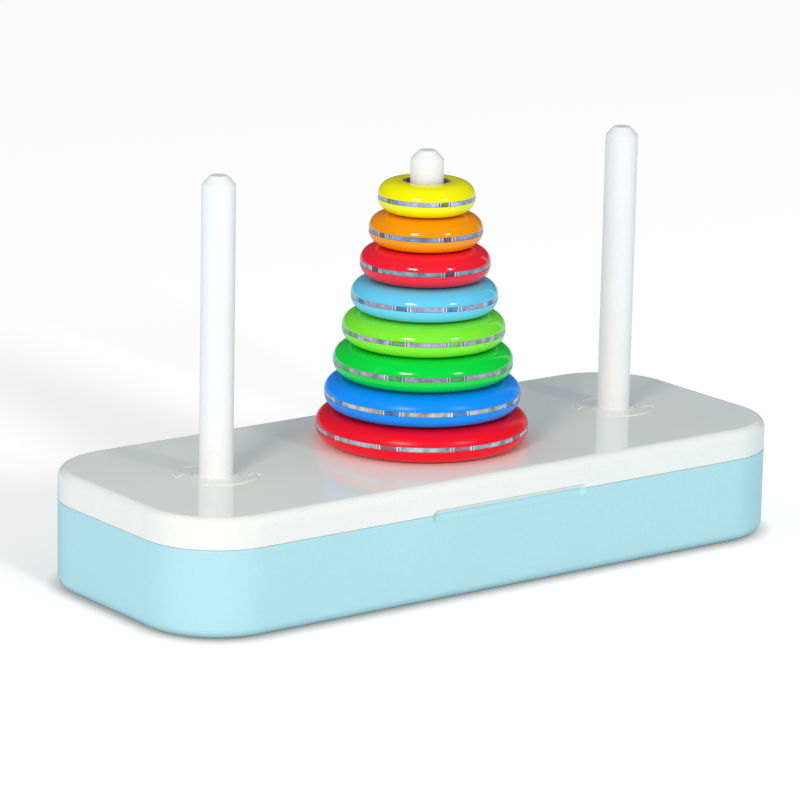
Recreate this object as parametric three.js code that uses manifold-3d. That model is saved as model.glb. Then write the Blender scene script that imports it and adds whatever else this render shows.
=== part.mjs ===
// Tower of Hanoi puzzle: a flat storage box whose lid carries three pegs, with eight
// two-tone ring discs stacked on the middle peg, largest at the bottom.
// Millimetres, +Z up. The origin is the middle of the box's underside, X runs along
// the row of pegs and -Y is the front, where the finger recess is.
import * as THREE from "three";
import { mergeVertices } from "three/addons/utils/BufferGeometryUtils.js";
import Module from "manifold-3d";

const wasm = await Module();
wasm.setup();

// ---- driving dimensions ----
const LENGTH = 225;
const WIDTH = 88;
const CORNER_RADIUS = 24;
const SEAM_HEIGHT = 26.6; // the parting line between box and lid
const LID_TOP = 35.8; // the surface the discs stand on
const GAP = 0.3; // clearance between neighbouring pieces

const BOX_WALL = 2.0;
const BOX_FLOOR = 2.0;
const BOX_EDGE_RADIUS = 3.4; // rounding of the underside's edge

const LID_PLATE = 2.4;
const LID_EDGE_RADIUS = 2.8; // rounding of the top edge
const LID_WALL = 3.7; // along the straight sides
const LID_INNER_CORNER_RADIUS = 16; // thins the wall to 2 mm in the corners
const TONGUE_DEPTH = 4.0; // rims along the four straight sides plug into the box

const RECESS_LENGTH = 57.5; // finger recess across the seam, front side
const RECESS_ABOVE = 1.5;
const RECESS_BELOW = 2.3;
const RECESS_DEPTH = 1.1;

const ARROW_RADIUS = 11.7; // two raised twist arrows run round each peg
const ARROW_START = 36; // degrees from +X
const ARROW_END = 161;
const ARROW_WIDTH = 0.4;
const ARROW_HEIGHT = 0.2; // a little less than DISC_REST_GAP
const ARROW_ROOT = 0.5; // how deep an arrow reaches into the lid it is moulded on
const BARB_TURN = 14; // degrees from the arrow's tip back to its barbs' tails
const BARB_RADII = [9.5, 12.8];

const PEG_PITCH = 75;
const PEG_RADIUS = 5.0;
const PEG_HEIGHT = 89; // above the lid
const PEG_TIP_RADIUS = 2.5;
const PEG_TIP_HEIGHT = 2.7;
const PEG_BORE_RADIUS = 3.0;
const PEG_TIP_WALL = 4.0;

const FLANGE_RADIUS = 7.0; // round foot, let into the lid flush with its top
const FLANGE_POCKET_DEPTH = 1.2;
const FLANGE_CLEARANCE = 0.15;
const STUB_RADIUS = 4.4; // below the flange, through the lid
const LUG_REACH = 6.4; // two bayonet lugs that lock under the lid
const LUG_WIDTH = 3.6;
const LUG_HEIGHT = 1.4;
const LUG_CLEARANCE = 0.35; // between the lugs and the underside of the lid
const NOTCH_CLEARANCE = 0.3; // round the lugs, in the lid's notches

const DISC_COUNT = 8;
const DISC_PITCH = 10; // height that each disc adds to the stack
const DISC_REST_GAP = 0.25;
const SMALLEST_DISC_RADIUS = 14.6;
const DISC_RADIUS_STEP = 2.5;
const BAND_THICKNESS = 1.3; // edge of the clear core, seen as a stripe round the disc
const BAND_CLEARANCE = 0.1;
const SHELL_HOLE_RADIUS = 7.15;
const SHELL_RIM = 0.7; // bevel round the hole
const SHELL_WALL = 1.4;
const CEILING_INSET = 5.0; // the hollow's flat ceiling stops this far in from the edge
const EDGE_ROUND_WIDTH = 5.6; // how far in the rounded edge of a disc reaches
const EDGE_ROUND_POWER = 2.25; // 2 is an ellipse, more is squarer
const EDGE_STEPS = [0, 0.5, 0.78, 0.94, 1]; // points along it, as shares of its height
const SLEEVE_INNER_RADIUS = 6.25;
const SLEEVE_OUTER_RADIUS = 6.95;
const SLEEVE_RECESS = 0.35; // the sleeve ends this far below the disc's faces

const ROUND_SEGMENTS = 20;
const CORNER_CURVE_SEGMENTS = 6;

// ---- colours and finishes ----
const DISC_COLOURS = [
  0xfff000, // disc 1, smallest
  0xff9a00,
  0xfb2a3c,
  0x70cbf0,
  0x7fe63a,
  0x00d24a,
  0x1a8fe8,
  0xfa0a30, // disc 8, largest
];
const plastic = (colour) =>
  new THREE.MeshStandardMaterial({ color: colour, roughness: 0.25, metalness: 0 });
const BOX_PLASTIC = plastic(0xb4e4ef);
const LID_PLASTIC = plastic(0xeef0ee);
const PEG_PLASTIC = plastic(0xfafcf8);
const CORE_PLASTIC = new THREE.MeshStandardMaterial({
  color: 0xb9c6cc,
  roughness: 0.1,
  metalness: 0,
  transparent: true,
  opacity: 0.45,
});

// ---- solids: joining and cutting ----
function solidFrom(geometry) {
  const bare = geometry.clone();
  bare.deleteAttribute("normal");
  bare.deleteAttribute("uv");
  const merged = mergeVertices(bare, 1e-4);
  return new wasm.Manifold(
    new wasm.Mesh({
      numProp: 3,
      vertProperties: new Float32Array(merged.attributes.position.array),
      triVerts: new Uint32Array(merged.index.array),
    }),
  );
}

function geometryFrom(solid) {
  const mesh = solid.getMesh();
  const geometry = new THREE.BufferGeometry();
  geometry.setAttribute("position", new THREE.BufferAttribute(mesh.vertProperties, 3));
  geometry.setIndex(new THREE.BufferAttribute(mesh.triVerts, 1));
  geometry.computeVertexNormals();
  return geometry;
}

function named(name, geometry, material) {
  const mesh = new THREE.Mesh(geometry, material);
  mesh.name = name;
  return mesh;
}

// ---- shared shapes ----
// A rounded rectangle in plan: the base's outline moved in by inset, with corners of radius r.
function outline(inset, r) {
  const x = LENGTH / 2 - inset;
  const y = WIDTH / 2 - inset;
  const shape = new THREE.Shape();
  shape.moveTo(-x + r, -y);
  shape.lineTo(x - r, -y);
  shape.absarc(x - r, -y + r, r, -Math.PI / 2, 0);
  shape.lineTo(x, y - r);
  shape.absarc(x - r, y - r, r, 0, Math.PI / 2);
  shape.lineTo(-x + r, y);
  shape.absarc(-x + r, y - r, r, Math.PI / 2, Math.PI);
  shape.lineTo(-x, -y + r);
  shape.absarc(-x + r, -y + r, r, Math.PI, Math.PI * 1.5);
  return shape;
}

// The outline as an upright prism from z0 to z1, its edges rounded by radius at both ends.
function plate(inset, z0, z1, radius = 0, cornerRadius = CORNER_RADIUS - inset) {
  const geometry = new THREE.ExtrudeGeometry(outline(inset, cornerRadius), {
    depth: z1 - z0 - 2 * radius,
    curveSegments: CORNER_CURVE_SEGMENTS,
    bevelEnabled: radius > 0,
    bevelThickness: radius,
    bevelSize: radius,
    bevelOffset: -radius,
    bevelSegments: 3,
  });
  geometry.translate(0, 0, z0 + radius);
  return solidFrom(geometry);
}

function cylinder(radius, z0, z1, x = 0) {
  const geometry = new THREE.CylinderGeometry(radius, radius, z1 - z0, ROUND_SEGMENTS);
  geometry.rotateX(Math.PI / 2);
  geometry.translate(x, 0, (z0 + z1) / 2);
  return solidFrom(geometry);
}

function block(sizeX, sizeY, z0, z1, x = 0) {
  const geometry = new THREE.BoxGeometry(sizeX, sizeY, z1 - z0);
  geometry.translate(x, 0, (z0 + z1) / 2);
  return solidFrom(geometry);
}

// A solid of revolution about Z from a closed list of [radius, height] points, which
// runs anticlockwise when radius points right and height points up.
function turned(profile) {
  const points = profile.map(([r, z]) => new THREE.Vector2(r, z));
  const closed = points[0].x > 0 ? [...points, points[0].clone()] : points;
  const geometry = new THREE.LatheGeometry(closed, ROUND_SEGMENTS);
  geometry.rotateX(Math.PI / 2);
  return geometry;
}

// The finger recess: a shallow groove with round ends across the seam of the front face,
// as a round-ended rod lying along X just in front of the face would press into it.
function recessCutter() {
  const halfHeight = (RECESS_ABOVE + RECESS_BELOW) / 2;
  const radius = (halfHeight ** 2 + RECESS_DEPTH ** 2) / (2 * RECESS_DEPTH);
  const straight = RECESS_LENGTH - 2 * halfHeight;
  const geometry = new THREE.CapsuleGeometry(radius, straight, 6, ROUND_SEGMENTS);
  geometry.rotateZ(Math.PI / 2);
  const middle = SEAM_HEIGHT + (RECESS_ABOVE - RECESS_BELOW) / 2;
  geometry.translate(0, -WIDTH / 2 + RECESS_DEPTH - radius, middle);
  return solidFrom(geometry);
}

// ---- storage box ----
function storageBox() {
  const rim = SEAM_HEIGHT - GAP / 2;
  const above = LID_TOP + 20;
  const body = plate(0, 0, above, BOX_EDGE_RADIUS)
    .subtract(block(LENGTH * 2, WIDTH * 2, rim, above + 1))
    .subtract(plate(BOX_WALL, BOX_FLOOR, above, BOX_EDGE_RADIUS - BOX_WALL))
    .subtract(recessCutter());
  return named("storage_box", geometryFrom(body), BOX_PLASTIC);
}

// ---- lid ----
const pegPositions = { left: -PEG_PITCH, centre: 0, right: PEG_PITCH };

// The keyhole a peg's foot drops into: a round pocket, a hole and two notches for the lugs.
function pegSocket(x) {
  const above = LID_TOP + 1;
  const below = LID_TOP - LID_PLATE - 1;
  const notchLength = 2 * (LUG_REACH + NOTCH_CLEARANCE);
  const notchWidth = LUG_WIDTH + 2 * NOTCH_CLEARANCE;
  return cylinder(FLANGE_RADIUS + FLANGE_CLEARANCE, LID_TOP - FLANGE_POCKET_DEPTH, above, x)
    .add(cylinder(STUB_RADIUS + GAP, below, above, x))
    .add(block(notchLength, notchWidth, below, above, x));
}

// A raised line on the lid's top, from a shape in plan with its origin on a peg's axis.
function raised(shape, x, curveSegments) {
  const depth = ARROW_ROOT + ARROW_HEIGHT;
  const geometry = new THREE.ExtrudeGeometry(shape, { depth, curveSegments, bevelEnabled: false });
  geometry.translate(x, 0, LID_TOP - ARROW_ROOT);
  return solidFrom(geometry);
}

function polar(radius, degrees) {
  const angle = THREE.MathUtils.degToRad(degrees);
  return new THREE.Vector2(radius * Math.cos(angle), radius * Math.sin(angle));
}

// One arrow round the peg at x: an arc and two barbs, moved round the peg by turn degrees.
function twistArrow(x, turn) {
  const start = THREE.MathUtils.degToRad(ARROW_START + turn);
  const end = THREE.MathUtils.degToRad(ARROW_END + turn);
  const line = new THREE.Shape();
  line.absarc(0, 0, ARROW_RADIUS + ARROW_WIDTH / 2, start, end);
  line.absarc(0, 0, ARROW_RADIUS - ARROW_WIDTH / 2, end, start, true);
  let arrow = raised(line, x, ROUND_SEGMENTS / 2);
  const tip = polar(ARROW_RADIUS, ARROW_END + turn);
  for (const radius of BARB_RADII) {
    const tail = polar(radius, ARROW_END + turn - BARB_TURN);
    const along = tip.clone().sub(tail).setLength(ARROW_WIDTH / 2);
    const across = new THREE.Vector2(-along.y, along.x);
    const ends = [tail.clone().sub(along), tip.clone().add(along)];
    const corners = [
      ends[0].clone().sub(across),
      ends[1].clone().sub(across),
      ends[1].clone().add(across),
      ends[0].clone().add(across),
    ];
    arrow = arrow.add(raised(new THREE.Shape(corners), x, 1));
  }
  return arrow;
}

function lid() {
  const skirtFoot = SEAM_HEIGHT + GAP / 2;
  const below = SEAM_HEIGHT - 20;
  const tongueFoot = SEAM_HEIGHT - TONGUE_DEPTH;
  const tongueOut = 2 * (BOX_WALL + GAP);
  const corners = 2 * CORNER_RADIUS;
  let body = plate(0, below, LID_TOP, LID_EDGE_RADIUS)
    .subtract(block(LENGTH * 2, WIDTH * 2, below - 1, skirtFoot))
    .add(block(LENGTH - corners, WIDTH - tongueOut, tongueFoot, skirtFoot + 1))
    .add(block(LENGTH - tongueOut, WIDTH - corners, tongueFoot, skirtFoot + 1))
    .subtract(plate(LID_WALL, below, LID_TOP - LID_PLATE, 0, LID_INNER_CORNER_RADIUS))
    .subtract(recessCutter());
  for (const x of Object.values(pegPositions)) {
    body = body.subtract(pegSocket(x)).add(twistArrow(x, 0)).add(twistArrow(x, 180));
  }
  return named("lid", geometryFrom(body), LID_PLASTIC);
}

// ---- pegs ----
// A hollow rod with a bevelled closed tip. Its round foot sits flush in the lid, and a
// stub with two lugs goes through it. The lugs lie across the notches: the locked position.
function peg(name, x) {
  const top = PEG_HEIGHT;
  const stubFoot = -LID_PLATE - LUG_CLEARANCE - LUG_HEIGHT;
  const flangeFoot = -FLANGE_POCKET_DEPTH + GAP;
  const rod = solidFrom(
    turned([
      [PEG_BORE_RADIUS, stubFoot],
      [STUB_RADIUS, stubFoot],
      [STUB_RADIUS, flangeFoot],
      [FLANGE_RADIUS, flangeFoot],
      [FLANGE_RADIUS, 0],
      [PEG_RADIUS, 0],
      [PEG_RADIUS, top - PEG_TIP_HEIGHT],
      [PEG_TIP_RADIUS, top],
      [0, top],
      [0, top - PEG_TIP_WALL],
      [PEG_BORE_RADIUS, top - PEG_TIP_WALL - PEG_BORE_RADIUS],
    ]),
  );
  const insideStub = (PEG_BORE_RADIUS + STUB_RADIUS) / 2;
  const lugs = block(LUG_WIDTH, 2 * LUG_REACH, stubFoot, stubFoot + LUG_HEIGHT).subtract(
    cylinder(insideStub, stubFoot - 1, stubFoot + LUG_HEIGHT + 1),
  );
  const mesh = named(name, geometryFrom(rod.add(lugs)), PEG_PLASTIC);
  mesh.position.set(x, 0, LID_TOP);
  return mesh;
}

// ---- discs ----
// How far a disc's rounded edge has come in from its full radius at a share of its height.
const edgeInset = (share) =>
  EDGE_ROUND_WIDTH * (1 - (1 - share ** EDGE_ROUND_POWER) ** (1 / EDGE_ROUND_POWER));

// The upper half shell of a disc, open underneath: heights are from the disc's mid-plane.
function shellGeometry(radius) {
  const face = (DISC_PITCH - DISC_REST_GAP) / 2;
  const foot = BAND_THICKNESS / 2 + BAND_CLEARANCE;
  const collar = SHELL_HOLE_RADIUS + SHELL_WALL;
  const edge = EDGE_STEPS.map((step) => {
    const z = foot + (face - foot) * step;
    return [radius - edgeInset(z / face), z];
  });
  return turned([
    [radius - SHELL_WALL, foot],
    ...edge,
    [SHELL_HOLE_RADIUS + SHELL_RIM, face],
    [SHELL_HOLE_RADIUS, face - SHELL_RIM],
    [SHELL_HOLE_RADIUS, foot],
    [collar, foot],
    [collar, face - SHELL_WALL],
    [radius - CEILING_INSET, face - SHELL_WALL],
  ]);
}

// The clear core: a sleeve that lines the hole and a web between the two shells.
function coreGeometry(radius) {
  const half = BAND_THICKNESS / 2;
  const end = (DISC_PITCH - DISC_REST_GAP) / 2 - SLEEVE_RECESS;
  return turned([
    [SLEEVE_INNER_RADIUS, -end],
    [SLEEVE_OUTER_RADIUS, -end],
    [SLEEVE_OUTER_RADIUS, -half],
    [radius, -half],
    [radius, half],
    [SLEEVE_OUTER_RADIUS, half],
    [SLEEVE_OUTER_RADIUS, end],
    [SLEEVE_INNER_RADIUS, end],
  ]);
}

// Disc 1 is the smallest and lies on top.
function disc(number) {
  const radius = SMALLEST_DISC_RADIUS + DISC_RADIUS_STEP * (number - 1);
  const group = new THREE.Group();
  const colour = plastic(DISC_COLOURS[number - 1]);
  const upper = named(`disc_${number}_upper_shell`, shellGeometry(radius), colour);
  const lower = named(`disc_${number}_lower_shell`, shellGeometry(radius), colour);
  lower.rotation.x = Math.PI;
  const core = named(`disc_${number}_clear_core`, coreGeometry(radius), CORE_PLASTIC);
  group.add(upper, lower, core);
  const middle = DISC_REST_GAP + (DISC_PITCH - DISC_REST_GAP) / 2;
  group.position.z = LID_TOP + middle + (DISC_COUNT - number) * DISC_PITCH;
  return group;
}

// ---- assembly ----
const puzzle = new THREE.Group();
puzzle.add(storageBox(), lid());
for (const [side, x] of Object.entries(pegPositions)) puzzle.add(peg(`peg_${side}`, x));
for (let number = 1; number <= DISC_COUNT; number++) puzzle.add(disc(number));

export default puzzle;
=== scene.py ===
"""Tower of Hanoi puzzle: the looks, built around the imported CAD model. Metres, +Z up."""

import math

import bmesh
import bpy
from mathutils import Matrix, Vector


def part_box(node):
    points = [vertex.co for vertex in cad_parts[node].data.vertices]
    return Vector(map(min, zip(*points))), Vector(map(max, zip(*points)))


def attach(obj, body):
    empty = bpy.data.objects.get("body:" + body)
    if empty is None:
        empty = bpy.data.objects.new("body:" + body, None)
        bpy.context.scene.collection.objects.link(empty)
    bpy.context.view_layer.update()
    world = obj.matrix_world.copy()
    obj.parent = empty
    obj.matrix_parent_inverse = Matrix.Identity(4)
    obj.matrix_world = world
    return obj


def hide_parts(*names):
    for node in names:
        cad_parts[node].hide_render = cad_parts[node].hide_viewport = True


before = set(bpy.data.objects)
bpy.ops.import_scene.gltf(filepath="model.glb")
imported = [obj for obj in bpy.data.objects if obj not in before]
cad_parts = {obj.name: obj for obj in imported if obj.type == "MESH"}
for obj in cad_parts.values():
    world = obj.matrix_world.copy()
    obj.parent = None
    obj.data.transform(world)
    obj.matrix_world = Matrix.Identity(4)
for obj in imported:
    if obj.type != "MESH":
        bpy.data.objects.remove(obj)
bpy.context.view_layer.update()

MM = 0.001
DISCS = 8

# ---- sizes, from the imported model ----
box_low, box_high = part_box("storage_box")
lid_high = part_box("lid")[1]
LENGTH = box_high[0] - box_low[0]
WIDTH = box_high[1] - box_low[1]
CAD_GAP = 0.3 * MM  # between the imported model's box and lid
MARK_HEIGHT = 0.2 * MM
SEAM = (box_high[2] + (box_high[2] + CAD_GAP)) / 2
LID_TOP = lid_high[2] - MARK_HEIGHT  # the raised arrows stand above it
peg_boxes = {side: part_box(f"peg_{side}") for side in ("left", "centre", "right")}
PEG_TIP_Z = peg_boxes["centre"][1][2]
PEG_FOOT_Z = peg_boxes["centre"][0][2]

CORNER_RADIUS = 24 * MM
SEAM_GAP = 0.08 * MM
WALL = 2.0 * MM
FLOOR_THICKNESS = 2.0 * MM
UNDERSIDE_RADIUS = 3.4 * MM
TOP_EDGE_RADIUS = 2.8 * MM
BOX_RIM_RADIUS = 0.45 * MM
LID_RIM_RADIUS = 0.3 * MM
LID_PLATE = 2.4 * MM
LID_WALL = 3.7 * MM
LID_INNER_CORNER_RADIUS = 16 * MM
TONGUE_INSET = 2.3 * MM
TONGUE_DEPTH = 4.0 * MM

RECESS_LENGTH = 57.5 * MM
RECESS_ABOVE = 1.5 * MM
RECESS_BELOW = 2.3 * MM
RECESS_DEPTH = 1.4 * MM

PEG_RADIUS = 5.0 * MM
PEG_BORE_RADIUS = 3.0 * MM
PEG_TIP_RADIUS = 2.5 * MM
PEG_TIP_HEIGHT = 2.7 * MM
PEG_TIP_WALL = 4 * MM
PEG_SOFTENING = 0.35 * MM
FLANGE_RADIUS = 7.0 * MM
FLANGE_THICKNESS = 0.9 * MM
FLANGE_POCKET_DEPTH = 1.2 * MM
FLANGE_GAP = 0.06 * MM
FLANGE_ROUNDING = 0.2 * MM
SOCKET_GAP = 0.3 * MM
STUB_RADIUS = 4.4 * MM
LUG_REACH = 6.4 * MM
LUG_WIDTH = 3.6 * MM
LUG_HEIGHT = 1.4 * MM

MARK_RADIUS = 11.7 * MM
MARK_START, MARK_END = 36, 161  # degrees
MARK_BARBS = (9.5 * MM, 12.8 * MM)
MARK_BARB_TURN = 14  # degrees
MARK_WIDTH = 0.36 * MM


# ---- mesh helpers ----
def new_object(name, mesh, material, body, smooth_angle=30):
    obj = bpy.data.objects.new(name, mesh)
    bpy.context.scene.collection.objects.link(obj)
    mesh.materials.clear()
    mesh.materials.append(material)
    shade(mesh, smooth_angle)
    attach(obj, body)
    return obj


def shade(mesh, smooth_angle):
    """Smooth shading, with edges sharper than smooth_angle degrees left sharp."""
    bm = bmesh.new()
    bm.from_mesh(mesh)
    bmesh.ops.recalc_face_normals(bm, faces=bm.faces)
    limit = math.radians(smooth_angle)
    for edge in bm.edges:
        edge.smooth = len(edge.link_faces) == 2 and edge.calc_face_angle(0) < limit
    for face in bm.faces:
        face.smooth = True
    bm.to_mesh(mesh)
    bm.free()


def mesh_from(name, vertices, faces):
    mesh = bpy.data.meshes.new(name)
    mesh.from_pydata(vertices, [], faces)
    mesh.update()
    return mesh


def turned(name, profile, segments=128, x=0.0, y=0.0, z=0.0):
    """A closed ring, or a solid if the profile touches the axis, from (radius, height) points."""
    bm = bmesh.new()
    columns = []
    for i in range(segments):
        angle = 2 * math.pi * i / segments
        c, s = math.cos(angle), math.sin(angle)
        column = []
        for r, h in profile:
            column.append(None if r < 1e-9 else bm.verts.new((x + r * c, y + r * s, z + h)))
        columns.append(column)
    poles = {j: bm.verts.new((x, y, z + h)) for j, (r, h) in enumerate(profile) if r < 1e-9}
    count = len(profile)
    for i in range(segments):
        here, there = columns[i], columns[(i + 1) % segments]
        for j in range(count):
            k = (j + 1) % count
            if j in poles and k in poles:
                continue
            corners = [here[j] or poles[j], there[j] or poles[j], there[k] or poles[k], here[k] or poles[k]]
            unique = list(dict.fromkeys(corners))
            bm.faces.new(unique)
    bmesh.ops.recalc_face_normals(bm, faces=bm.faces)
    mesh = bpy.data.meshes.new(name)
    bm.to_mesh(mesh)
    bm.free()
    return mesh


def arc(centre, radius, start, end, steps):
    """Points of an arc in a profile, angles in degrees."""
    points = []
    for i in range(steps + 1):
        a = math.radians(start + (end - start) * i / steps)
        points.append((centre[0] + radius * math.cos(a), centre[1] + radius * math.sin(a)))
    return points


def outline(inset, radius=None, steps=24):
    """The base's rounded rectangle in plan, moved in by inset."""
    hx, hy, r = LENGTH / 2 - inset, WIDTH / 2 - inset, radius or CORNER_RADIUS - inset
    points = []
    right, back = hx - r, hy - r
    corners = ((right, back, 0), (-right, back, 90), (-right, -back, 180), (right, -back, 270))
    for cx, cy, start in corners:
        points += arc((cx, cy), r, start, start + 90, steps)
    return points


def lofted(name, rings, radius=None):
    """A closed solid through (inset, height) rings of the base's outline, capped at both ends."""
    vertices, faces = [], []
    for inset, z in rings:
        vertices += [(px, py, z) for px, py in outline(inset, radius)]
    count = len(outline(0))
    for layer in range(len(rings) - 1):
        a, b = layer * count, (layer + 1) * count
        for i in range(count):
            j = (i + 1) % count
            faces.append((a + i, a + j, b + j, b + i))
    faces.append(tuple(reversed(range(count))))
    faces.append(tuple(range((len(rings) - 1) * count, len(rings) * count)))
    return mesh_from(name, vertices, faces)


def block(name, low, high):
    bm = bmesh.new()
    size = [h - l for l, h in zip(low, high)]
    middle = [(h + l) / 2 for l, h in zip(low, high)]
    bmesh.ops.create_cube(bm, size=1, matrix=Matrix.Translation(middle) @ Matrix.Diagonal((*size, 1)))
    mesh = bpy.data.meshes.new(name)
    bm.to_mesh(mesh)
    bm.free()
    return mesh


def combined(name, base, steps):
    """base with each (operation, mesh) of steps applied in turn, by exact booleans."""
    obj = bpy.data.objects.new("work", base)
    bpy.context.scene.collection.objects.link(obj)
    helpers = []
    for operation, mesh in steps:
        helper = bpy.data.objects.new("cutter", mesh)
        bpy.context.scene.collection.objects.link(helper)
        helpers.append(helper)
        modifier = obj.modifiers.new("cut", "BOOLEAN")
        modifier.operation = operation
        modifier.solver = "EXACT"
        modifier.object = helper
    graph = bpy.context.evaluated_depsgraph_get()
    result = bpy.data.meshes.new_from_object(obj.evaluated_get(graph), depsgraph=graph)
    result.name = name
    for helper in (*helpers, obj):
        bpy.data.objects.remove(helper)
    return result


def keep_flats_flat(obj):
    """Weights normals by face area, so a rounded edge doesn't shade the flat beside it."""
    modifier = obj.modifiers.new("flat_faces", "WEIGHTED_NORMAL")
    modifier.keep_sharp = True
    modifier.weight = 90


# ---- materials ----
def plastic(name, colour, roughness=0.2, specular=0.5, mottle=0.025, grain=0.01 * MM):
    """Glossy moulded plastic: faint flow mottling, uneven gloss from handling, and fine surface grain."""
    material = bpy.data.materials.new(name)
    material.use_nodes = True
    nodes, links = material.node_tree.nodes, material.node_tree.links
    shader = nodes["Principled BSDF"]
    shader.inputs["IOR"].default_value = 1.5
    shader.inputs["Specular IOR Level"].default_value = specular
    place = nodes.new("ShaderNodeTexCoord").outputs["Object"]

    flow = nodes.new("ShaderNodeTexNoise")
    flow.inputs["Scale"].default_value = 38
    flow.inputs["Detail"].default_value = 3
    links.new(place, flow.inputs["Vector"])
    tone = nodes.new("ShaderNodeValToRGB")
    dark, light = ([min(1.0, c * scale) for c in colour] for scale in (1 - mottle, 1 + mottle))
    tone.color_ramp.elements[0].position = 0.35
    tone.color_ramp.elements[0].color = (*dark, 1)
    tone.color_ramp.elements[1].position = 0.65
    tone.color_ramp.elements[1].color = (*light, 1)
    links.new(tone.outputs["Color"], shader.inputs["Base Color"])

    handling = nodes.new("ShaderNodeTexNoise")
    handling.inputs["Scale"].default_value = 60
    handling.inputs["Detail"].default_value = 1
    links.new(place, handling.inputs["Vector"])
    rough = nodes.new("ShaderNodeMapRange")
    rough.inputs["From Min"].default_value = 0.2
    rough.inputs["From Max"].default_value = 0.8
    rough.inputs["To Min"].default_value = roughness * 0.93
    rough.inputs["To Max"].default_value = roughness * 1.07
    links.new(handling.outputs["Fac"], rough.inputs["Value"])
    links.new(rough.outputs["Result"], shader.inputs["Roughness"])

    fine = nodes.new("ShaderNodeTexNoise")
    fine.inputs["Scale"].default_value = 1400
    fine.inputs["Detail"].default_value = 2
    links.new(place, fine.inputs["Vector"])
    blend = nodes.new("ShaderNodeMix")
    blend.inputs["Factor"].default_value = 0.6
    links.new(flow.outputs["Fac"], blend.inputs["A"])
    links.new(fine.outputs["Fac"], blend.inputs["B"])
    links.new(blend.outputs["Result"], tone.inputs["Fac"])
    bump = nodes.new("ShaderNodeBump")
    bump.inputs["Strength"].default_value = 0.2
    bump.inputs["Distance"].default_value = grain
    links.new(fine.outputs["Fac"], bump.inputs["Height"])
    links.new(bump.outputs["Normal"], shader.inputs["Normal"])
    return material


def clear_plastic(name, window, divider, spokes, radius):
    """An opaque stand-in for clear plastic over an inner wheel of spokes, which it paints on: paired pale
    ribs, with long pale windows and short windows that pick up the disc's own colour."""
    material = bpy.data.materials.new(name)
    material.use_nodes = True
    nodes, links = material.node_tree.nodes, material.node_tree.links
    shader = nodes["Principled BSDF"]
    shader.inputs["IOR"].default_value = 1.49
    shader.inputs["Coat Weight"].default_value = 0.3
    shader.inputs["Coat Roughness"].default_value = 0.12

    def math_node(operation, *values):
        node = nodes.new("ShaderNodeMath")
        node.operation = operation
        for socket, value in zip(node.inputs, values):
            if isinstance(value, (int, float)):
                socket.default_value = value
            else:
                links.new(value, socket)
        return node.outputs[0]

    place = nodes.new("ShaderNodeTexCoord").outputs["Object"]
    split = nodes.new("ShaderNodeSeparateXYZ")
    links.new(place, split.inputs[0])
    angle = math_node("ARCTAN2", split.outputs["Y"], split.outputs["X"])
    turns = math_node("MULTIPLY", math_node("SUBTRACT", angle, SPOKE_PHASE), spokes / (2 * math.pi))
    turned_half = math_node("FRACT", math_node("ADD", turns, 0.5))
    share = math_node("ABSOLUTE", math_node("SUBTRACT", turned_half, 0.5))

    marks = spoke_marks(spokes, radius)
    ramp = nodes.new("ShaderNodeValToRGB")
    ramp.color_ramp.interpolation = "CONSTANT"
    rib = tuple(0.35 + 0.65 * c for c in window)
    gap = tuple(0.45 * c for c in window)
    stops = [(0.0, divider), (marks[0], rib), (marks[1], gap), (marks[2], rib), (marks[3], window)]
    elements = ramp.color_ramp.elements
    elements.remove(elements[1])
    for i, (position, colour) in enumerate(stops):
        element = elements[0] if i == 0 else elements.new(position)
        element.position = position
        element.color = (*colour, 1)
    links.new(share, ramp.inputs["Fac"])
    squares = [math_node("MULTIPLY", split.outputs[axis], split.outputs[axis]) for axis in "XY"]
    reach = math_node("SQRT", math_node("ADD", *squares))
    pattern = nodes.new("ShaderNodeMix")
    pattern.data_type = "RGBA"
    pattern.inputs["A"].default_value = (*SLEEVE_COLOUR, 1)
    links.new(math_node("GREATER_THAN", reach, SLEEVE_OUTER + 0.2 * MM), pattern.inputs["Factor"])
    links.new(ramp.outputs["Color"], pattern.inputs["B"])

    streaks_and_glints = nodes.new("ShaderNodeTexNoise")
    streaks_and_glints.inputs["Scale"].default_value = 300
    streaks_and_glints.inputs["Detail"].default_value = 3
    streaks_and_glints.inputs["Roughness"].default_value = 0.6
    links.new(place, streaks_and_glints.inputs["Vector"])
    # The same noise paints glints into the core's colour: it scales the colour from 0.45 to 1.5 times, giving
    # painted sparkle highlights beside darker flecks.
    tone = nodes.new("ShaderNodeMapRange")
    tone.inputs["From Min"].default_value = 0.3
    tone.inputs["From Max"].default_value = 0.7
    tone.inputs["To Min"].default_value = 0.45
    tone.inputs["To Max"].default_value = 1.5
    links.new(streaks_and_glints.outputs["Fac"], tone.inputs["Value"])
    shaded = nodes.new("ShaderNodeVectorMath")
    shaded.operation = "SCALE"
    links.new(pattern.outputs["Result"], shaded.inputs[0])
    links.new(tone.outputs["Result"], shaded.inputs["Scale"])
    links.new(shaded.outputs["Vector"], shader.inputs["Base Color"])

    rough = nodes.new("ShaderNodeMapRange")
    rough.inputs["To Min"].default_value = 0.08
    rough.inputs["To Max"].default_value = 0.24
    links.new(streaks_and_glints.outputs["Fac"], rough.inputs["Value"])
    links.new(rough.outputs["Result"], shader.inputs["Roughness"])
    bump = nodes.new("ShaderNodeBump")
    bump.inputs["Strength"].default_value = 0.4
    bump.inputs["Distance"].default_value = 0.08 * MM
    links.new(streaks_and_glints.outputs["Fac"], bump.inputs["Height"])
    links.new(bump.outputs["Normal"], shader.inputs["Normal"])
    return material


def srgb(*values):
    """An sRGB colour, 0 to 255, as the linear numbers that shaders take."""
    unit = [v / 255 for v in values]
    return tuple(v / 12.92 if v <= 0.04045 else ((v + 0.055) / 1.055) ** 2.4 for v in unit)


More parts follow.
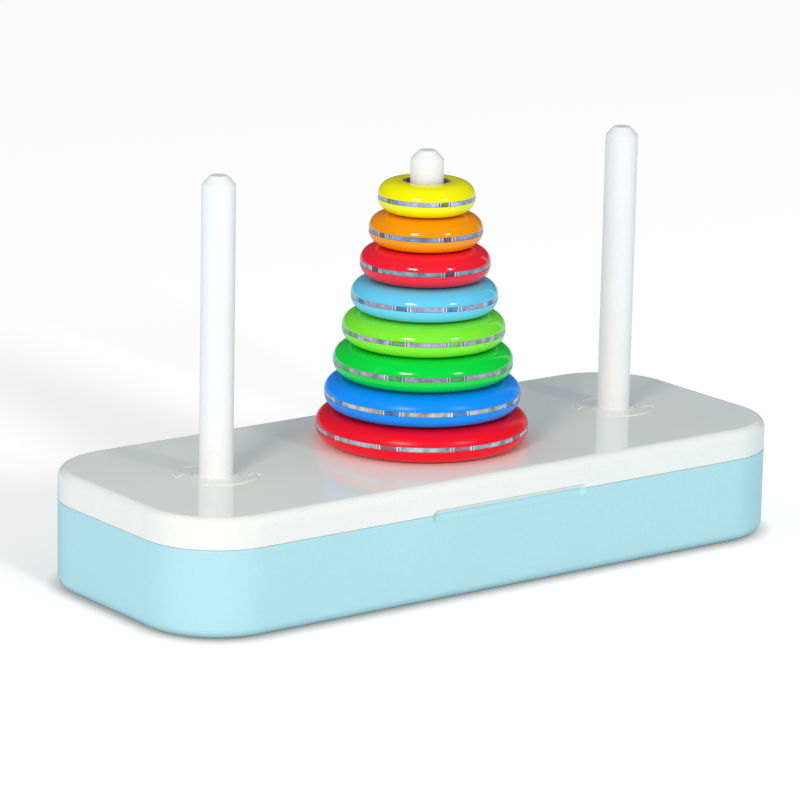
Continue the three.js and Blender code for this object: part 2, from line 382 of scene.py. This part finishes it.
SLEEVE_COLOUR = srgb(128, 134, 148)
BOX_PLASTIC = plastic("box_plastic", srgb(183, 223, 224), roughness=0.34, specular=0.3)
LID_PLASTIC = plastic("lid_plastic", srgb(246, 240, 228), roughness=0.1, specular=0.25)
PEG_PLASTIC = plastic("peg_plastic", srgb(244, 240, 233), roughness=0.33, specular=0.3)

# Each disc's slot, shell colour, roughness and specular, then its clear core's long and short windows.
DISC_LOOKS = [
    ("yellow", (255, 238, 0), 0.12, 0.45, (155, 165, 205), (112, 122, 60)),
    ("orange", (255, 150, 0), 0.12, 0.45, (115, 145, 178), (105, 75, 75)),
    ("coral_red", (250, 28, 48), 0.12, 0.45, (122, 150, 158), (70, 62, 72)),
    ("sky_blue", (104, 202, 228), 0.13, 0.45, (160, 152, 170), (85, 128, 158)),
    ("lime_green", (128, 234, 48), 0.13, 0.45, (170, 158, 185), (122, 165, 118)),
    ("green", (0, 214, 62), 0.13, 0.45, (168, 146, 174), (85, 145, 95)),
    ("blue", (0, 142, 245), 0.3, 0.25, (184, 176, 162), (78, 116, 168)),
    ("red", (246, 0, 32), 0.3, 0.25, (160, 182, 188), (150, 92, 108)),
]


# ---- storage box and lid ----
def recess_cutter():
    """A round-ended rod along X, just in front of the face, that presses the finger recess."""
    half = (RECESS_ABOVE + RECESS_BELOW) / 2
    radius = (half**2 + RECESS_DEPTH**2) / (2 * RECESS_DEPTH)
    reach = RECESS_LENGTH / 2 - half
    end = arc((reach, 0), radius, 90, 0, 16)
    profile = [(r, -x) for x, r in end[::-1]] + [(r, x) for x, r in end]
    profile = [(r if r > 1e-8 else 0.0, h) for r, h in sorted(set(profile), key=lambda p: p[1])]
    mesh = turned("recess_cutter", profile, 64)
    middle = (0, -WIDTH / 2 + RECESS_DEPTH - radius, SEAM + (RECESS_ABOVE - RECESS_BELOW) / 2)
    mesh.transform(Matrix.Translation(middle) @ Matrix.Rotation(math.pi / 2, 4, "Y"))
    return mesh


def build_box():
    rim = SEAM - SEAM_GAP / 2
    below = [(UNDERSIDE_RADIUS - r, z) for r, z in arc((0, UNDERSIDE_RADIUS), UNDERSIDE_RADIUS, 270, 360, 10)]
    top = [(BOX_RIM_RADIUS - r, z) for r, z in arc((0, rim - BOX_RIM_RADIUS), BOX_RIM_RADIUS, 0, 90, 5)]
    inner_radius = UNDERSIDE_RADIUS - WALL
    inside_low = arc((0, FLOOR_THICKNESS + inner_radius), inner_radius, 270, 360, 6)
    inside = [(WALL + inner_radius - r, z) for r, z in inside_low] + [(WALL, SEAM + 0.01)]
    mesh = combined(
        "box_shell",
        lofted("box_outer", below + top),
        [("DIFFERENCE", lofted("box_inner", inside)), ("DIFFERENCE", recess_cutter())],
    )
    obj = new_object("box_shell", mesh, BOX_PLASTIC, "storage_box")
    keep_flats_flat(obj)
    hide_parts("storage_box")


def socket_cutters(x):
    """The pocket, hole and notches that a peg's foot drops into."""
    pocket = FLANGE_RADIUS + FLANGE_GAP
    lip = 0.1 * MM
    floor = LID_TOP - FLANGE_POCKET_DEPTH
    above = LID_TOP + 1 * MM
    below = LID_TOP - LID_PLATE - 1 * MM
    round_pocket = [(0, floor), (pocket, floor), (pocket, LID_TOP - lip)]
    round_pocket += [(pocket + lip, LID_TOP), (pocket + lip, above), (0, above)]
    hole = STUB_RADIUS + SOCKET_GAP
    round_hole = [(0, below), (hole, below), (hole, floor + lip), (0, floor + lip)]
    reach, half = LUG_REACH + SOCKET_GAP, LUG_WIDTH / 2 + SOCKET_GAP
    return [
        ("DIFFERENCE", turned("pocket", round_pocket, 96, x=x)),
        ("DIFFERENCE", turned("hole", round_hole, 96, x=x)),
        ("DIFFERENCE", block("notches", (x - reach, -half, below), (x + reach, half, floor + lip))),
    ]


def build_lid():
    foot = SEAM + SEAM_GAP / 2
    low_arc = arc((0, foot + LID_RIM_RADIUS), LID_RIM_RADIUS, 270, 360, 5)
    low_edge = [(LID_RIM_RADIUS - r, z) for r, z in low_arc]
    high_arc = arc((0, LID_TOP - TOP_EDGE_RADIUS), TOP_EDGE_RADIUS, 0, 90, 14)
    high_edge = [(TOP_EDGE_RADIUS - r, z) for r, z in high_arc]
    x, y, low, high = LENGTH / 2, WIDTH / 2, SEAM - TONGUE_DEPTH, SEAM + 2 * MM
    straight, reach = (x - CORNER_RADIUS, y - TONGUE_INSET), (x - TONGUE_INSET, y - CORNER_RADIUS)
    tongues = [block("tongue", (-tx, -ty, low), (tx, ty, high)) for tx, ty in (straight, reach)]
    inside = [(LID_WALL, SEAM - 0.02), (LID_WALL, LID_TOP - LID_PLATE)]
    cuts = [cut for low, high in peg_boxes.values() for cut in socket_cutters((low[0] + high[0]) / 2)]
    mesh = combined(
        "lid_shell",
        lofted("lid_outer", low_edge + high_edge),
        [
            *[("UNION", tongue) for tongue in tongues],
            ("DIFFERENCE", lofted("lid_inner", inside, LID_INNER_CORNER_RADIUS)),
            ("DIFFERENCE", recess_cutter()),
            *cuts,
        ],
    )
    obj = new_object("lid_shell", mesh, LID_PLASTIC, "lid")
    keep_flats_flat(obj)
    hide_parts("lid")


def ridge(bm, points):
    """Adds a thin raised line to bm, through points on the lid's top."""
    half = MARK_WIDTH / 2
    section = [(-half, -MARK_HEIGHT), (-half, MARK_HEIGHT * 0.6), (-half / 2, MARK_HEIGHT)]
    section += [(half / 2, MARK_HEIGHT), (half, MARK_HEIGHT * 0.6), (half, -MARK_HEIGHT)]
    rings = []
    for i, point in enumerate(points):
        before, after = points[max(i - 1, 0)], points[min(i + 1, len(points) - 1)]
        along = (after - before).normalized()
        across = Vector((-along.y, along.x))
        rings.append([bm.verts.new((*(point + across * w), LID_TOP + h)) for w, h in section])
    for here, there in zip(rings, rings[1:]):
        for j in range(len(section)):
            k = (j + 1) % len(section)
            bm.faces.new((here[j], here[k], there[k], there[j]))
    bm.faces.new(rings[0][::-1])
    bm.faces.new(rings[-1])


def polar(centre, radius, degrees):
    angle = math.radians(degrees)
    return centre + Vector((radius * math.cos(angle), radius * math.sin(angle)))


def build_twist_marks():
    """Two raised arrows round each peg, which show the way to turn it."""
    bm = bmesh.new()
    for low, high in peg_boxes.values():
        centre = Vector(((low[0] + high[0]) / 2, 0))
        for turn in (0, 180):
            sweep = range(MARK_START, MARK_END + 1, 5)
            ridge(bm, [polar(centre, MARK_RADIUS, turn + degrees) for degrees in sweep])
            tip = polar(centre, MARK_RADIUS, turn + MARK_END)
            for tail_radius in MARK_BARBS:
                ridge(bm, [polar(centre, tail_radius, turn + MARK_END - MARK_BARB_TURN), tip])
    mesh = bpy.data.meshes.new("lid_twist_marks")
    bm.to_mesh(mesh)
    bm.free()
    obj = new_object("lid_twist_marks", mesh, LID_PLASTIC, "lid")


# ---- pegs ----
def build_peg(side):
    low, high = peg_boxes[side]
    x = (low[0] + high[0]) / 2
    soft, top = PEG_SOFTENING, PEG_TIP_Z
    slope = Vector((PEG_RADIUS - PEG_TIP_RADIUS, -PEG_TIP_HEIGHT)).normalized()
    profile = [(PEG_BORE_RADIUS, PEG_FOOT_Z), (STUB_RADIUS, PEG_FOOT_Z)]
    profile += [(STUB_RADIUS, LID_TOP - FLANGE_THICKNESS), (FLANGE_RADIUS, LID_TOP - FLANGE_THICKNESS)]
    rounding = FLANGE_ROUNDING
    profile += arc((FLANGE_RADIUS - rounding, LID_TOP - rounding), rounding, 0, 90, 4)
    profile += arc((PEG_RADIUS + soft, LID_TOP + soft), soft, 270, 180, 4)
    shoulder = Vector((PEG_RADIUS, top - PEG_TIP_HEIGHT))
    brow = Vector((PEG_TIP_RADIUS, top))
    profile += soften(shoulder, Vector((0, -1)), -slope, soft)
    profile += soften(brow, slope, Vector((-1, 0)), soft)
    bore_top = top - PEG_TIP_WALL
    profile += [(0, top), (0, bore_top), (PEG_BORE_RADIUS, bore_top - PEG_BORE_RADIUS)]
    lug_foot, lug_top = PEG_FOOT_Z, PEG_FOOT_Z + LUG_HEIGHT
    lugs = block("lugs", (x - LUG_WIDTH / 2, -LUG_REACH, lug_foot), (x + LUG_WIDTH / 2, LUG_REACH, lug_top))
    bore = [(0, lug_foot - MM), (PEG_BORE_RADIUS, lug_foot - MM)]
    bore += [(PEG_BORE_RADIUS, lug_top + MM), (0, lug_top + MM)]
    mesh = combined(
        f"peg_{side}_rod",
        turned("rod", profile, 96, x=x),
        [("UNION", lugs), ("DIFFERENCE", turned("bore", bore, 96, x=x))],
    )
    obj = new_object(f"peg_{side}_rod", mesh, PEG_PLASTIC, f"peg_{side}")
    keep_flats_flat(obj)
    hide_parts(f"peg_{side}")


def soften(corner, back, forward, reach, steps=4):
    """A corner of a profile rounded over reach on both sides, back and forward being unit directions."""
    start, end = corner + back * reach, corner + forward * reach
    points = []
    for i in range(steps + 1):
        t = i / steps
        p = start * (1 - t) ** 2 + corner * 2 * t * (1 - t) + end * t**2
        points.append((p.x, p.y))
    return points


# ---- discs ----
EDGE_ROUND_WIDTH = 5.6 * MM
EDGE_ROUND_POWER = 2.25
BAND = 1.45 * MM
HOLE_RADIUS = 7.15 * MM
HOLE_RIM = 0.7 * MM
SHELL_WALL = 1.4 * MM
SLEEVE_INNER = 6.25 * MM
SLEEVE_OUTER = 6.95 * MM
SLEEVE_RECESS = 0.3 * MM
HALF_DISC = 4.875 * MM  # keeps the lowest disc clear of the raised arrows
SPOKE_PHASE = math.radians(-105)
SHORT_WINDOW = 9  # degrees
RIB_PITCH = 0.42 * MM
WINDOW_DEPTH = 0.15 * MM
DISC_GRAIN = 0.003 * MM
LOWER_SHELL_TONE = 1.12  # the same plastic, lightened because these lights leave the undersides too dark


def edge_inset(share):
    """How far a disc's rounded edge has come in at a share of its half height."""
    return EDGE_ROUND_WIDTH * (1 - (1 - share**EDGE_ROUND_POWER) ** (1 / EDGE_ROUND_POWER))


def shell_profile(radius, sign):
    foot = BAND / 2 + 0.01 * MM
    start = math.acos(foot / HALF_DISC)
    steps = 22
    points = []
    for i in range(steps + 1):
        z = HALF_DISC * math.cos(start * (1 - i / steps))
        points.append((radius - edge_inset(min(1.0, z / HALF_DISC)), z))
    points += soften(Vector((HOLE_RADIUS, HALF_DISC)), Vector((1, 0)), Vector((0, -1)), HOLE_RIM, 8)
    collar = HOLE_RADIUS + SHELL_WALL
    ceiling = HALF_DISC - SHELL_WALL
    points += [(HOLE_RADIUS, foot), (collar, foot), (collar, ceiling)]
    points += [(radius - 5 * MM, ceiling), (radius - SHELL_WALL, foot)]
    return [(r, sign * z) for r, z in points]


def core_spokes(number):
    return 5 if number <= 3 else 9


def spoke_marks(spokes, radius):
    """Where a core's face changes, as shares of a spoke's turn either side of a short window's middle."""
    turn = 2 * math.pi * radius / spokes
    start = SHORT_WINDOW * spokes / 360 / 2
    return [start + RIB_PITCH * i / turn for i in range(4)]


def core_section(reach):
    """The clear core's section: a sleeve round the peg's hole, and a flange out to the band at reach."""
    half, end, soft = BAND / 2, HALF_DISC - SLEEVE_RECESS, 0.12 * MM
    return [
        (SLEEVE_INNER, -end),
        (SLEEVE_OUTER, -end),
        (SLEEVE_OUTER, -half),
        (reach - soft, -half),
        (reach, -half + soft),
        (reach, half - soft),
        (reach - soft, half),
        (SLEEVE_OUTER, half),
        (SLEEVE_OUTER, end),
        (SLEEVE_INNER, end),
    ]


def core_mesh(name, radius, spokes, z):
    """The clear core, its band cut back between the ribs."""
    marks = spoke_marks(spokes, radius)
    step = 0.002
    shares = [(0.0, 1), (marks[0] / 2, 1), (marks[0], 1), (marks[0] + step, 0)]
    shares += [(marks[1], 0), (marks[1] + step, 1)]
    shares += [(marks[2], 1), (marks[2] + step, 0), (marks[3], 0), (marks[3] + step, 1)]
    shares += [(marks[3] + (0.5 - marks[3]) * i / 5, 1) for i in range(1, 6)]
    half_turn = shares + [(1 - share, cut) for share, cut in shares[-2:0:-1]]
    vertices, faces = [], []
    for spoke in range(spokes):
        for share, cut in half_turn:
            angle = SPOKE_PHASE + (spoke + share) * 2 * math.pi / spokes
            for r, h in core_section(radius - cut * WINDOW_DEPTH):
                vertices.append((r * math.cos(angle), r * math.sin(angle), z + h))
    count = len(core_section(radius))
    columns = spokes * len(half_turn)
    for i in range(columns):
        here, there = i * count, (i + 1) % columns * count
        for j in range(count):
            k = (j + 1) % count
            faces.append((here + j, there + j, there + k, here + k))
    return mesh_from(name, vertices, faces)


def build_disc(number):
    body = f"disc_{number}"
    core_low, core_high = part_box(f"disc_{number}_clear_core")
    middle = (core_low[2] + core_high[2]) / 2
    radius = (core_high[0] - core_low[0]) / 2
    slot, colour, roughness, specular, window, divider = DISC_LOOKS[number - 1]
    for half, sign, tone in (("upper", 1, 1), ("lower", -1, LOWER_SHELL_TONE)):
        shell_colour = [c * tone for c in srgb(*colour)]
        material = plastic(f"disc_{slot}_{half}", shell_colour, roughness, specular, grain=DISC_GRAIN)
        mesh = turned(f"disc_{number}_{half}_half", shell_profile(radius, sign), 160, z=middle)
        obj = new_object(mesh.name, mesh, material, body)
        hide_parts(f"disc_{number}_{half}_shell")
    spokes = core_spokes(number)
    mesh = core_mesh(f"disc_{number}_clear_ring", radius, spokes, middle)
    clear = clear_plastic(f"clear_core_{number}", srgb(*window), srgb(*divider), spokes, radius)
    obj = new_object(mesh.name, mesh, clear, body)
    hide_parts(f"disc_{number}_clear_core")


# ---- stage ----
FILL_COLOUR = (0.71, 0.855, 1)
FILL_STRENGTH = 0.71
MIRRORED_STRENGTH = 0.07
FLOOR_COLOUR = (0.8, 0.8, 0.81)
FLOOR_COLOUR_SEEN = (1.0, 0.83, 0.71)
FLOOR_GAP = 0.05 * MM  # keeps the floor from coinciding with the box's underside
FLOOR_GLOW = 0.08
FLOOR_GLOW_SEEN = 0.36
CONTACT_REACH = 5 * MM  # how far the contact shadow spreads from the box
LIGHT_TARGET_HEIGHT = 60 * MM


def build_floor():
    bm = bmesh.new()
    bmesh.ops.create_grid(bm, x_segments=1, y_segments=1, size=6)
    mesh = bpy.data.meshes.new("floor")
    bm.to_mesh(mesh)
    bm.free()
    material = bpy.data.materials.new("floor")
    material.use_nodes = True
    shader = material.node_tree.nodes["Principled BSDF"]
    shader.inputs["Roughness"].default_value = 0.9
    shader.inputs["Specular IOR Level"].default_value = 0.0
    shader.inputs["Emission Color"].default_value = (1, 1, 1, 1)
    path = material.node_tree.nodes.new("ShaderNodeLightPath")
    glow = material.node_tree.nodes.new("ShaderNodeMapRange")
    glow.inputs["To Min"].default_value = FLOOR_GLOW
    glow.inputs["To Max"].default_value = FLOOR_GLOW_SEEN
    colour = material.node_tree.nodes.new("ShaderNodeMix")
    colour.data_type = "RGBA"
    colour.inputs["A"].default_value = (*FLOOR_COLOUR, 1)
    colour.inputs["B"].default_value = (*FLOOR_COLOUR_SEEN, 1)
    material.node_tree.links.new(path.outputs["Is Camera Ray"], colour.inputs["Factor"])
    contact = material.node_tree.nodes.new("ShaderNodeAmbientOcclusion")
    contact.inputs["Distance"].default_value = CONTACT_REACH
    material.node_tree.links.new(colour.outputs["Result"], contact.inputs["Color"])
    material.node_tree.links.new(contact.outputs["Color"], shader.inputs["Base Color"])
    material.node_tree.links.new(path.outputs["Is Camera Ray"], glow.inputs["Value"])
    material.node_tree.links.new(glow.outputs["Result"], shader.inputs["Emission Strength"])
    mesh.materials.append(material)
    floor = bpy.data.objects.new("floor", mesh)
    floor.location.z = -FLOOR_GAP
    bpy.context.scene.collection.objects.link(floor)
    return floor


def build_world():
    """White to the camera, a soft fill for the surfaces, and dim in their reflections."""
    world = bpy.data.worlds.new("studio")
    bpy.context.scene.world = world
    world.use_nodes = True
    nodes, links = world.node_tree.nodes, world.node_tree.links
    nodes.clear()
    path = nodes.new("ShaderNodeLightPath")

    def background(colour, strength):
        node = nodes.new("ShaderNodeBackground")
        node.inputs["Color"].default_value = (*colour, 1)
        node.inputs["Strength"].default_value = strength
        return node.outputs[0]

    def choose(ray, otherwise, then):
        node = nodes.new("ShaderNodeMixShader")
        links.new(path.outputs[ray], node.inputs[0])
        links.new(otherwise, node.inputs[1])
        links.new(then, node.inputs[2])
        return node.outputs[0]

    fill = background(FILL_COLOUR, FILL_STRENGTH)
    mirrored = choose("Is Glossy Ray", fill, background((1, 1, 1), MIRRORED_STRENGTH))
    seen = choose("Is Camera Ray", mirrored, background((1, 1, 1), 1))
    links.new(seen, nodes.new("ShaderNodeOutputWorld").inputs["Surface"])


def softbox(name, azimuth, elevation, distance, width, height, power, colour=(1, 1, 1)):
    """A rectangular light aimed at the puzzle. Azimuth is turned from the camera's own side."""
    target = Vector((0, 0, LIGHT_TARGET_HEIGHT))
    turn = math.radians(azimuth)
    up = math.radians(elevation)
    toward_camera = Vector((-math.sin(CAMERA_YAW), -math.cos(CAMERA_YAW), 0))
    flat = Matrix.Rotation(turn, 3, "Z") @ toward_camera
    direction = flat * math.cos(up) + Vector((0, 0, math.sin(up)))
    data = bpy.data.lights.new(name, "AREA")
    data.shape = "RECTANGLE"
    data.size, data.size_y = width, height
    data.energy = power
    data.color = colour
    light = bpy.data.objects.new(name, data)
    light.location = target + direction * distance
    light.rotation_euler = direction.to_track_quat("Z", "Y").to_euler()
    bpy.context.scene.collection.objects.link(light)
    return light


def link_light(light, obj, state):
    """Makes light fall on obj alone (INCLUDE) or on everything else (EXCLUDE)."""
    group = bpy.data.collections.new(light.name + "_receivers")
    group.objects.link(obj)
    group.collection_objects[0].light_linking.link_state = state
    light.light_linking.receiver_collection = group


CAMERA_YAW = 0.6468
CAMERA_PITCH = 0.2465
CAMERA_ROLL = 0.0201
CAMERA_PLACE = (-0.75325, -0.98638, 0.36032)
CAMERA_LENS = 191.17  # mm, on a 36 mm sensor


def build_camera():
    data = bpy.data.cameras.new("camera")
    data.sensor_width = 36
    data.lens = CAMERA_LENS
    data.clip_end = 50
    camera = bpy.data.objects.new("camera", data)
    turn = Matrix.Rotation(-CAMERA_YAW, 4, "Z") @ Matrix.Rotation(math.pi / 2 - CAMERA_PITCH, 4, "X")
    turn = turn @ Matrix.Rotation(CAMERA_ROLL, 4, "Z")
    camera.matrix_world = Matrix.Translation(CAMERA_PLACE) @ turn
    bpy.context.scene.collection.objects.link(camera)
    bpy.context.scene.camera = camera


build_camera()
build_world()
floor = build_floor()
link_light(softbox("front_light", -22, 22, 1.3, 0.3, 0.18, 7.3, (1, 0.93, 0.91)), floor, "EXCLUDE")
link_light(softbox("right_light", 46, 21, 1.3, 0.16, 0.16, 3.2), floor, "EXCLUDE")
link_light(softbox("floor_light", 34, 19, 4, 0.7, 0.7, 112, FILL_COLOUR), floor, "INCLUDE")
bpy.context.scene.view_settings.view_transform = "Standard"

build_box()
build_lid()
build_twist_marks()
for peg_side in peg_boxes:
    build_peg(peg_side)
for disc_number in range(1, DISCS + 1):
    build_disc(disc_number)
